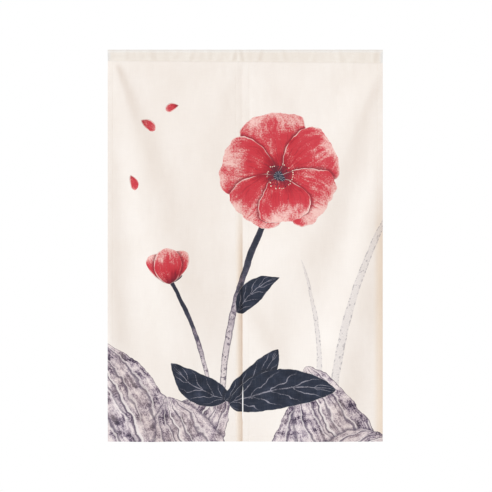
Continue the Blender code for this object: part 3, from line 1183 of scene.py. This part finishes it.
def group_petal_wash():
    """Red petals: deep at the root, streaked along, dry and pale towards the rim."""
    g, point, (along, across, rim), tone, shade = new_wash("petal_wash")
    fibre_place = g.join(across * 5.0 + tone * 13.0, along * 1.3, tone * 7.0)
    fibre = g.cloud(fibre_place, 1.6, 3.0, 0.62)
    patch = g.cloud(point, 17.0, 2.0, 0.55)
    grain = g.cloud(point, 210.0, 4.0, 0.75)
    depth = along + (fibre - 0.5) * 0.50 + (patch - 0.5) * 0.6 + (grain - 0.5) * 0.18
    colour = g.ramp(
        depth,
        (0.00, paint(110, 18, 38)),
        (0.18, paint(172, 30, 46)),
        (0.38, paint(198, 48, 60)),
        (0.78, paint(202, 60, 72)),
        (1.00, paint(214, 98, 102)),
    )
    veins = g.ridge(across * 5.5 + (fibre - 0.5) * 1.6 + tone, 0.10)
    veins = veins * g.step(along + (patch - 0.5), 0.80, 0.20)
    colour = g.mix(veins * 0.45, colour, paint(122, 22, 40))
    dryness = (grain - 0.5) * 1.6 + (fibre - 0.5) * 0.9 + (patch - 0.5) * 1.5 + along**3.0 * 0.60
    colour = g.mix(g.step(dryness, 0.12, 0.78) * 0.85, colour, paint(242, 206, 198))
    colour = g.mix(shade ** 1.5 * 0.72, colour, paint(112, 20, 38))
    pale_rim = g.step(rim, 0.0042, 0.0010) * g.step(fibre + patch, 0.80, 1.05)
    colour = g.mix(pale_rim * 0.85, colour, paint(244, 218, 210))
    dark_rim = g.step(rim, 0.0014, 0.0002) * g.step(patch, 0.48, 0.56)
    g.give(Colour=g.mix(dark_rim * 0.75, colour, paint(88, 26, 44)))


def leaf_veins(g, along, across, wander, count, slant):
    """A midrib and side veins that sweep towards the tip."""
    side = g.ridge(along * count - abs(across) * slant + (wander - 0.5) * 0.9, 0.055)
    side = side * (1.0 - g.step(abs(across), 0.55, 0.95))
    middle = 1.0 - g.step(abs(across + (wander - 0.5) * 0.12), 0.012, 0.045)
    return g.largest(side, middle)


def group_dark_leaf_wash():
    """Near-black ink leaves with a cold bloom and thin pale veins."""
    g, point, (along, across, rim), _, shade = new_wash("dark_leaf_wash")
    patch = g.cloud(point, 24.0, 3.0, 0.6)
    grain = g.cloud(point, 380.0, 2.0, 0.7)
    wander = g.cloud(point, 30.0, 1.0)
    colour = g.ramp(
        patch + (grain - 0.5) * 0.35,
        (0.30, paint(22, 28, 44)),
        (0.54, paint(34, 41, 58)),
        (0.70, paint(50, 56, 74)),
        (0.86, paint(92, 92, 112)),
    )
    veins = leaf_veins(g, along, across, wander, 5.0, 1.6) * g.step(patch + grain, 0.80, 1.1)
    colour = g.mix(veins * 0.62, colour, paint(180, 174, 186))
    colour = g.mix(shade * 0.7, colour, paint(30, 32, 44))
    lit_rim = g.step(rim, 0.0019, 0.0008) * g.step(wander, 0.50, 0.62)
    g.give(Colour=g.mix(lit_rim * 0.6, colour, paint(196, 192, 200)))


def group_mottled_leaf_wash():
    """Broad leaves in grey and mauve, blotched, with dark veins that run beside pale ones."""
    g, point, (along, across, rim), tone, shade = new_wash("mottled_leaf_wash")
    blotch = g.cloud(point, 27.0, 5.0, 0.70)
    grain = g.cloud(point, 300.0, 4.0, 0.78)
    wander = g.cloud(point, 22.0, 2.0)
    warm = g.cloud(point, 9.0)
    side = abs(across)
    streak = g.cloud(g.join(across * 9.0 + tone * 17.0, along * 2.2, tone * 5.0), 1.7, 3.0, 0.65)
    colour = g.ramp(
        blotch * 1.5 + streak * 0.6 + grain - 1.05,
        (0.28, paint(40, 30, 54)),
        (0.38, paint(104, 88, 108)),
        (0.48, paint(176, 160, 170)),
        (0.60, paint(212, 198, 200)),
        (0.76, paint(236, 222, 220)),
    )
    colour = g.mix(g.step(warm, 0.45, 0.65) * 0.22, colour, paint(220, 200, 192))
    wave = (wander - 0.5) * 0.20
    rib = across + wave * 0.6
    beside = g.step(abs(rib - 0.045), 0.055, 0.020) * g.step(blotch, 0.36, 0.52)
    colour = g.mix(beside * 0.8, colour, paint(74, 62, 84))
    colour = g.mix(g.step(abs(rib), 0.040, 0.022) * 0.85, colour, paint(232, 222, 220))
    line = side * 2.3 - along * 1.1 + wave * 2.4 + tone * 0.2
    shadow = g.ridge(line + 0.10, 0.14) * g.step(blotch, 0.34, 0.52) * g.step(side, 0.10, 0.20)
    colour = g.mix(shadow * 0.72, colour, paint(82, 70, 92))
    pale = g.ridge(line, 0.075) * g.step(side, 0.10, 0.20) * (0.15 + grain)
    colour = g.mix(pale, colour, paint(232, 220, 219))
    colour = g.mix(shade ** 1.4 * 0.70, colour, paint(74, 62, 86))
    outline = g.step(rim, 0.0028, 0.0012) * g.step(wander + grain, 0.80, 1.05)
    g.give(Colour=g.mix(outline * 0.85, colour, paint(64, 54, 74)))


def group_stem_wash():
    """Stems: solid ink near the flower, then dry and speckled with darker sides."""
    g, point, (along, across, _), _, shade = new_wash("stem_wash")
    patch = g.cloud(point, 40.0, 3.0, 0.6)
    grain = g.cloud(point, 450.0, 3.0, 0.75)
    colour = g.ramp(
        along + (patch - 0.5) * 0.55 + (grain - 0.5) * 0.5,
        (0.22, paint(38, 42, 56)),
        (0.40, paint(66, 66, 82)),
        (0.50, paint(138, 126, 138)),
        (0.66, paint(206, 193, 197)),
        (1.00, paint(226, 214, 212)),
    )
    specks = g.step(g.cloud(point, 105.0, 2.0, 0.75) + patch * 0.4, 0.74, 0.80)
    colour = g.mix(specks * g.step(along, 0.30, 0.50) * 0.80, colour, paint(84, 72, 92))
    sides = g.step(abs(across), 0.50, 0.88) * g.step(patch + grain, 0.82, 1.02)
    colour = g.mix(sides * 0.75, colour, paint(80, 70, 88))
    g.give(Colour=g.mix(shade * 0.6, colour, paint(34, 34, 46)))


def group_reed_wash():
    """Pale reeds with dotted sides and a few specks."""
    g, point, (_, across, _), _, _ = new_wash("reed_wash")
    grain = g.cloud(point, 300.0, 2.0, 0.7)
    specks = g.step(g.cloud(point, 95.0, 1.0), 0.64, 0.70)
    dots = g.step(abs(across), 0.50, 0.85) * g.step(g.cloud(point, 110.0, 1.0), 0.46, 0.58)
    colour = g.ramp(grain, (0.3, paint(206, 197, 196)), (0.7, paint(232, 223, 219)))
    g.give(Colour=g.mix(g.largest(dots * 0.75, specks * 0.7), colour, paint(128, 122, 130)))


def group_stamens():
    """The middle of an open flower: a dark seed head ringed by fine stamens."""
    g = Group("stamens", ["Point", "Reach"], ["Colour", "Mask"])
    x, z, _ = g.split(g.given("Point"))
    reach = g.given("Reach")
    far = g.math("SQRT", x * x + z * z)
    turn = g.math("ARCTAN2", z, x) / (2.0 * math.pi) * STAMEN_COUNT
    own = g.math("FLOOR", turn)
    chance = g.node("ShaderNodeTexWhiteNoise", noise_dimensions="1D")
    g.feed(chance.inputs["W"], own + 0.37)
    luck = g.number(chance.outputs["Value"])
    off = (turn - own - 0.5 + (luck - 0.5) * 0.35) * far * (2.0 * math.pi / STAMEN_COUNT)
    tip = reach * (0.62 + luck * 0.38)
    hair = g.step(abs(off), *STAMEN_HAIR) * g.step(far, tip, tip - 0.001)
    dot_far = g.math("SQRT", off * off + (far - tip) * (far - tip))
    dot = g.step(dot_far, *STAMEN_DOT)
    head = g.step(far, *(reach * share for share in SEED_HEAD))
    rays = g.ridge(turn * (SEED_RAYS / STAMEN_COUNT), 0.12) * g.step(far, 0.002, 0.005)
    pale_dot = g.math("GREATER_THAN", luck, 0.45)
    dot_colour = g.mix(pale_dot, paint(38, 34, 50), paint(240, 216, 196))
    colour = g.mix(dot, paint(64, 40, 56), dot_colour)
    seed = g.mix(rays * 0.75, paint(44, 46, 62), paint(186, 176, 184))
    g.give(Colour=g.mix(head, colour, seed), Mask=g.largest(hair, dot, head))


def group_print():
    """The whole printed design, on the flat cloth."""
    g = Group("curtain_print", ["Point"], ["Colour", "Mask"])
    point = g.given("Point")
    colour, mask = paint(240, 230, 222), 0.0
    for wash, strokes, opacity, slow, fine in PRINT_LAYERS:
        held = g.group("hand_wobble", Point=point, Slow=slow, Fine=fine)["Point"]
        laid = lay_strokes(g, held, strokes)
        stroke_values = {name: laid[name] for name in ("Spots", "Tone", "Shade")}
        ink = g.group(wash, Point=point, **stroke_values)
        here = laid["Mask"] * opacity
        colour = g.mix(laid["Mask"], colour, ink["Colour"])
        mask = g.largest(mask * (1.0 - laid["Mask"]), here)
        if strokes is BLOOM:
            middle = g.vectors("SUBTRACT", held, (*BLOOM_MIDDLE, 0.0)).outputs[0]
            stamens = g.group("stamens", Point=middle, Reach=STAMEN_REACH)
            colour = g.mix(stamens["Mask"], colour, stamens["Colour"])
            mask = g.largest(mask, stamens["Mask"])
    g.give(Colour=colour, Mask=mask)


def group_edges():
    """Painted warm shade where an edge curls back, away from the light.

    Bare Fold is where the slit's fold kept the ink off the right panel's edge.
    """
    g = Group("cloth_edges", ["Point"], ["Warmth", "Bare Fold"])
    x, z, _ = g.split(g.given("Point"))
    slit = abs(x - MEETING_X)
    right_panel = g.step(x, MEETING_X - 0.0002, MEETING_X + 0.0002)
    lip = g.step(slit, SLIT_HEM * 1.2, SLIT_HEM * 0.5) * (1.0 - right_panel)
    curl = g.step(WIDTH / 2 - x, SIDE_HEM * 1.8, SIDE_HEM * 0.5)
    fold = g.step(slit, BARE_FOLD, BARE_FOLD * 0.4) * right_panel
    g.give(
        Warmth=g.step(z, LIP_STARTS, LIP_FULL) * g.largest(lip * 0.8, curl),
        Bare_Fold=fold * g.step(z, *SLIT_PARTS),
    )


def new_material(name):
    """A material with its Principled shader, ready to wire."""
    material = bpy.data.materials.new(name)
    material.use_nodes = True
    wiring = Wiring(material.node_tree)
    shader = material.node_tree.nodes["Principled BSDF"]
    shader.inputs["Metallic"].default_value = 0.0
    return wiring, shader


def flat_point(wiring):
    return wiring.node("ShaderNodeUVMap", uv_map=FLAT_MAP).outputs["UV"]


def bump(wiring, shader, height, distance, strength):
    made = wiring.node("ShaderNodeBump")
    made.inputs["Strength"].default_value = strength
    made.inputs["Distance"].default_value = distance
    wiring.feed(made.inputs["Height"], height)
    wiring.feed(shader.inputs["Normal"], made.outputs["Normal"])


def cloth_material(name, light_paint, dark_paint, ink_share, top_shade_share=0.0):
    """Cream cloth. ink_share is how strongly the print shows: 1 in front, little behind.

    The last argument is how strongly grey shade is painted along the top edge and the upper ends.
    """
    wiring, shader = new_material(name)
    point = flat_point(wiring)
    weave = wiring.group("plain_weave", Point=point, Pitch=THREAD_PITCH)
    cloudy = wiring.step(wiring.cloud(point, 6.0, 3.0), 0.30, 0.70)
    colour = wiring.mix(cloudy, paint(*dark_paint), paint(*light_paint))
    # Painted grey shade along the sleeve's top edge and its two ends.
    if top_shade_share:
        x, _, z = wiring.split(wiring.node("ShaderNodeTexCoord").outputs["Object"])
        top = wiring.step(z, -TOP_SHADE_DEEP, -0.003)
        ends = wiring.step(abs(x), WIDTH / 2 - TOP_SHADE_DEEP, WIDTH / 2 - 0.002)
        top_shade = wiring.largest(top, ends) * top_shade_share
        colour = wiring.mix(top_shade, colour, paint(*TOP_SHADE_PAINT))
    if ink_share:
        edges = wiring.group("cloth_edges", Point=point)
        # Painted warm shade on the edges that curl back.
        colour = wiring.mix(edges["Warmth"] * CURL_SHADE_SHARE, colour, paint(*CURL_SHADE_PAINT))
        design = wiring.group("curtain_print", Point=point)
        worn = 1.0 - wiring.step(weave["Height"], 0.30, 0.75) * 0.03
        inked = worn * (1.0 - edges["Bare Fold"] * 0.6) * ink_share
        colour = wiring.mix(design["Mask"] * inked, colour, design["Colour"])
    wiring.feed(shader.inputs["Base Color"], wiring.shade(colour, weave["Tone"]))
    rough = 0.84 - weave["Height"] * 0.06
    wiring.feed(shader.inputs["Roughness"], rough)
    shader.inputs["Sheen Weight"].default_value = 0.12
    shader.inputs["Sheen Roughness"].default_value = 0.55
    shader.inputs["Specular IOR Level"].default_value = 0.25
    bump(wiring, shader, weave["Height"], 0.00016, 0.55)


def thread_material():
    """Pale thread. The ink went on after the sewing, so the print runs over the stitches."""
    wiring, shader = new_material("sewing_thread")
    twist = wiring.cloud(wiring.node("ShaderNodeTexCoord").outputs["Object"], 2600.0, 1.0)
    colour = wiring.mix(twist, paint(226, 214, 202), paint(246, 238, 229))
    design = wiring.group("curtain_print", Point=flat_point(wiring))
    wiring.feed(shader.inputs["Base Color"], wiring.mix(design["Mask"], colour, design["Colour"]))
    wiring.feed(shader.inputs["Roughness"], 0.55 + twist * 0.2)
    bump(wiring, shader, twist, 0.00006, 0.6)


def floor_material():
    wiring, shader = new_material("pale_floor")
    place = wiring.node("ShaderNodeTexCoord").outputs["Object"]
    dust = wiring.cloud(place, 1.2, 4.0)
    colour = wiring.mix(dust, paint(221, 222, 224), paint(229, 230, 232))
    wiring.feed(shader.inputs["Base Color"], colour)
    shader.inputs["Roughness"].default_value = 0.9


def make_materials():
    for make_group in (
        group_weave, group_wobble, group_stroke, group_overlap, group_petal_wash,
        group_dark_leaf_wash, group_mottled_leaf_wash, group_stem_wash, group_reed_wash,
        group_stamens, group_print, group_edges,
    ):
        make_group()
    cloth_material("printed_cloth", CREAM_LIGHT, CREAM_DARK, 1.0)
    cloth_material("cloth_back", CREAM_LIGHT, CREAM_DARK, GHOST)
    cloth_material("sleeve_weave", SLEEVE_LIGHT, SLEEVE_DARK, 0.0, TOP_SHADE_SHARE)
    thread_material()
    floor_material()


def plain_floor():
    """A pale floor, far below the view of the main picture."""
    shape = bmesh.new()
    bmesh.ops.create_circle(shape, cap_ends=True, segments=96, radius=FLOOR_RADIUS)
    floor = surface_object("floor", shape, ("pale_floor",))
    floor.location = (0.0, 0.0, FLOOR_Z)


def hang(piece, node, with_pieces):
    """The finished cloth takes its solid's place: it joins the root body, and its solid is hidden.
    """
    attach(piece, "root")
    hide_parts(node)


def main():
    make_materials()
    sleeve = make_sleeve()
    hang(sleeve, "rod_sleeve", [
        make_stitches("sleeve_stitching", sleeve_stitch_runs())
    ])
    for panel, cut in (("left", LEFT_CUT), ("right", RIGHT_CUT)):
        stitches = make_stitches(panel + "_panel_stitching", panel_stitch_runs(panel))
        hang(make_panel(panel), panel + "_panel", [stitches])
    studio()
    plain_floor()


main()
